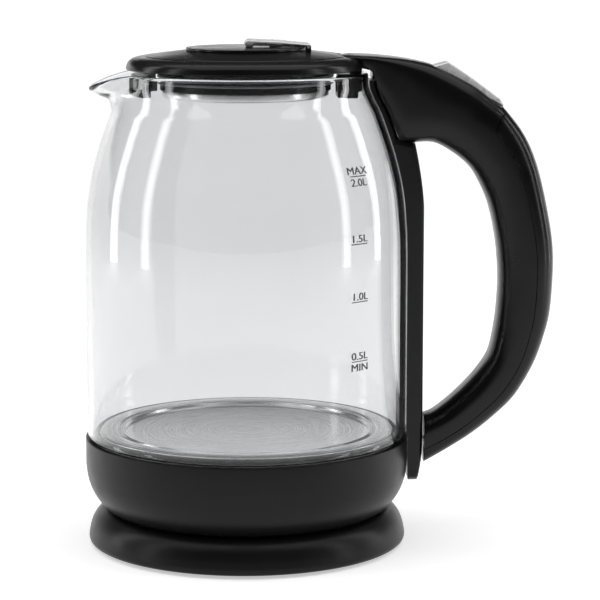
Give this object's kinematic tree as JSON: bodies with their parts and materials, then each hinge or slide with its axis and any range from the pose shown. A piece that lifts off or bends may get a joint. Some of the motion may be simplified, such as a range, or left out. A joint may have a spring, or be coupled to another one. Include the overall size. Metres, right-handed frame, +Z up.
{
  "type": "electric kettle",
  "caption": "Glass electric kettle with black handle, hinged lid with pull tab, power switch and a round swivel power base.",
  "frame": {"origin": "bottom centre of the whole bounding box, on the surface that the kettle stands on", "axes": "+Z up, +X towards the handle, -X towards the spout, Y across the kettle"},
  "size_m": [0.2277, 0.1574, 0.246],
  "materials": {
    "aluminium": "rolled",
    "black_plastic": "smooth, satin sheen",
    "black_rubber": "matt",
    "blue_wire": "soft insulation",
    "brass": "bare brass",
    "clear_glass": "clear borosilicate",
    "grey_silicone": "translucent grey silicone",
    "red_wire": "soft insulation",
    "satin_black_plastic": "fine satin",
    "satin_chrome": "satin chrome",
    "stainless_steel": "brushed",
    "white_nylon": "matt"
  },
  "bodies": {
    "base": {"base_shell": "satin_black_plastic", "base_cover": "satin_black_plastic", "base_foot_1": "black_rubber", "base_foot_2": "black_rubber", "base_foot_3": "black_rubber", "base_screw_1": "stainless_steel", "base_screw_2": "stainless_steel", "base_screw_3": "stainless_steel", "base_connector": "black_plastic", "earth_pin": "brass", "cord_gland": "black_rubber"},
    "coupler": {"coupler_socket": "black_plastic", "coupler_contact_ring": "brass"},
    "pot": {"lower_housing": "satin_black_plastic", "housing_cover": "satin_black_plastic", "housing_screw_1": "stainless_steel", "housing_screw_2": "stainless_steel", "housing_screw_3": "stainless_steel", "thermostat_block": "white_nylon", "thermostat_disc": "brass", "heater_plate": "stainless_steel", "glass_seal": "grey_silicone", "clamp_ring": "stainless_steel", "heat_spreader": "aluminium", "heating_element": "stainless_steel", "glass_jar": "clear_glass", "filter_frame": "black_plastic", "filter_mesh": "stainless_steel", "handle_strip": "black_plastic", "handle_grip": "black_plastic", "handle_cover": "black_plastic", "handle_screw": "stainless_steel", "switch_wire_1": "red_wire", "switch_wire_2": "blue_wire", "steam_inlet": "black_plastic", "steam_switch_body": "white_nylon", "steam_bimetal": "brass", "switch_pin": "stainless_steel", "lid_hinge_pin": "stainless_steel"},
    "switch": {"power_switch": "satin_chrome"},
    "lid": {"lid_body": "black_plastic", "lid_disc": "black_plastic", "lid_plug": "black_plastic", "lid_seal_1": "grey_silicone", "lid_seal_2": "grey_silicone", "lid_cap": "stainless_steel", "tab_pin": "stainless_steel"},
    "tab": {"lid_tab": "satin_chrome"}
  },
  "joints": [
    {"name": "pot_lift", "type": "slide", "parent": "base", "child": "coupler", "axis": [0, 0, 1], "range_m": [0, 0.1]},
    {"name": "pot_swivel", "type": "hinge", "parent": "coupler", "child": "pot", "pos_m": [-0.03525, 0, 0.0179], "axis": [0, 0, 1], "continuous": true},
    {"name": "lid_hinge", "type": "hinge", "parent": "pot", "child": "lid", "pos_m": [0.01475, 0, 0.2363], "axis": [0, 1, 0], "range_deg": [0, 75]},
    {"name": "tab_lift", "type": "hinge", "parent": "lid", "child": "tab", "pos_m": [-0.00525, 0, 0.2424], "axis": [0, 1, 0], "range_deg": [0, 20]},
    {"name": "switch_rock", "type": "hinge", "parent": "pot", "child": "switch", "pos_m": [0.07131, 0, 0.22127], "axis": [0, 1, 0], "range_deg": [-8, 0]}
  ]
}
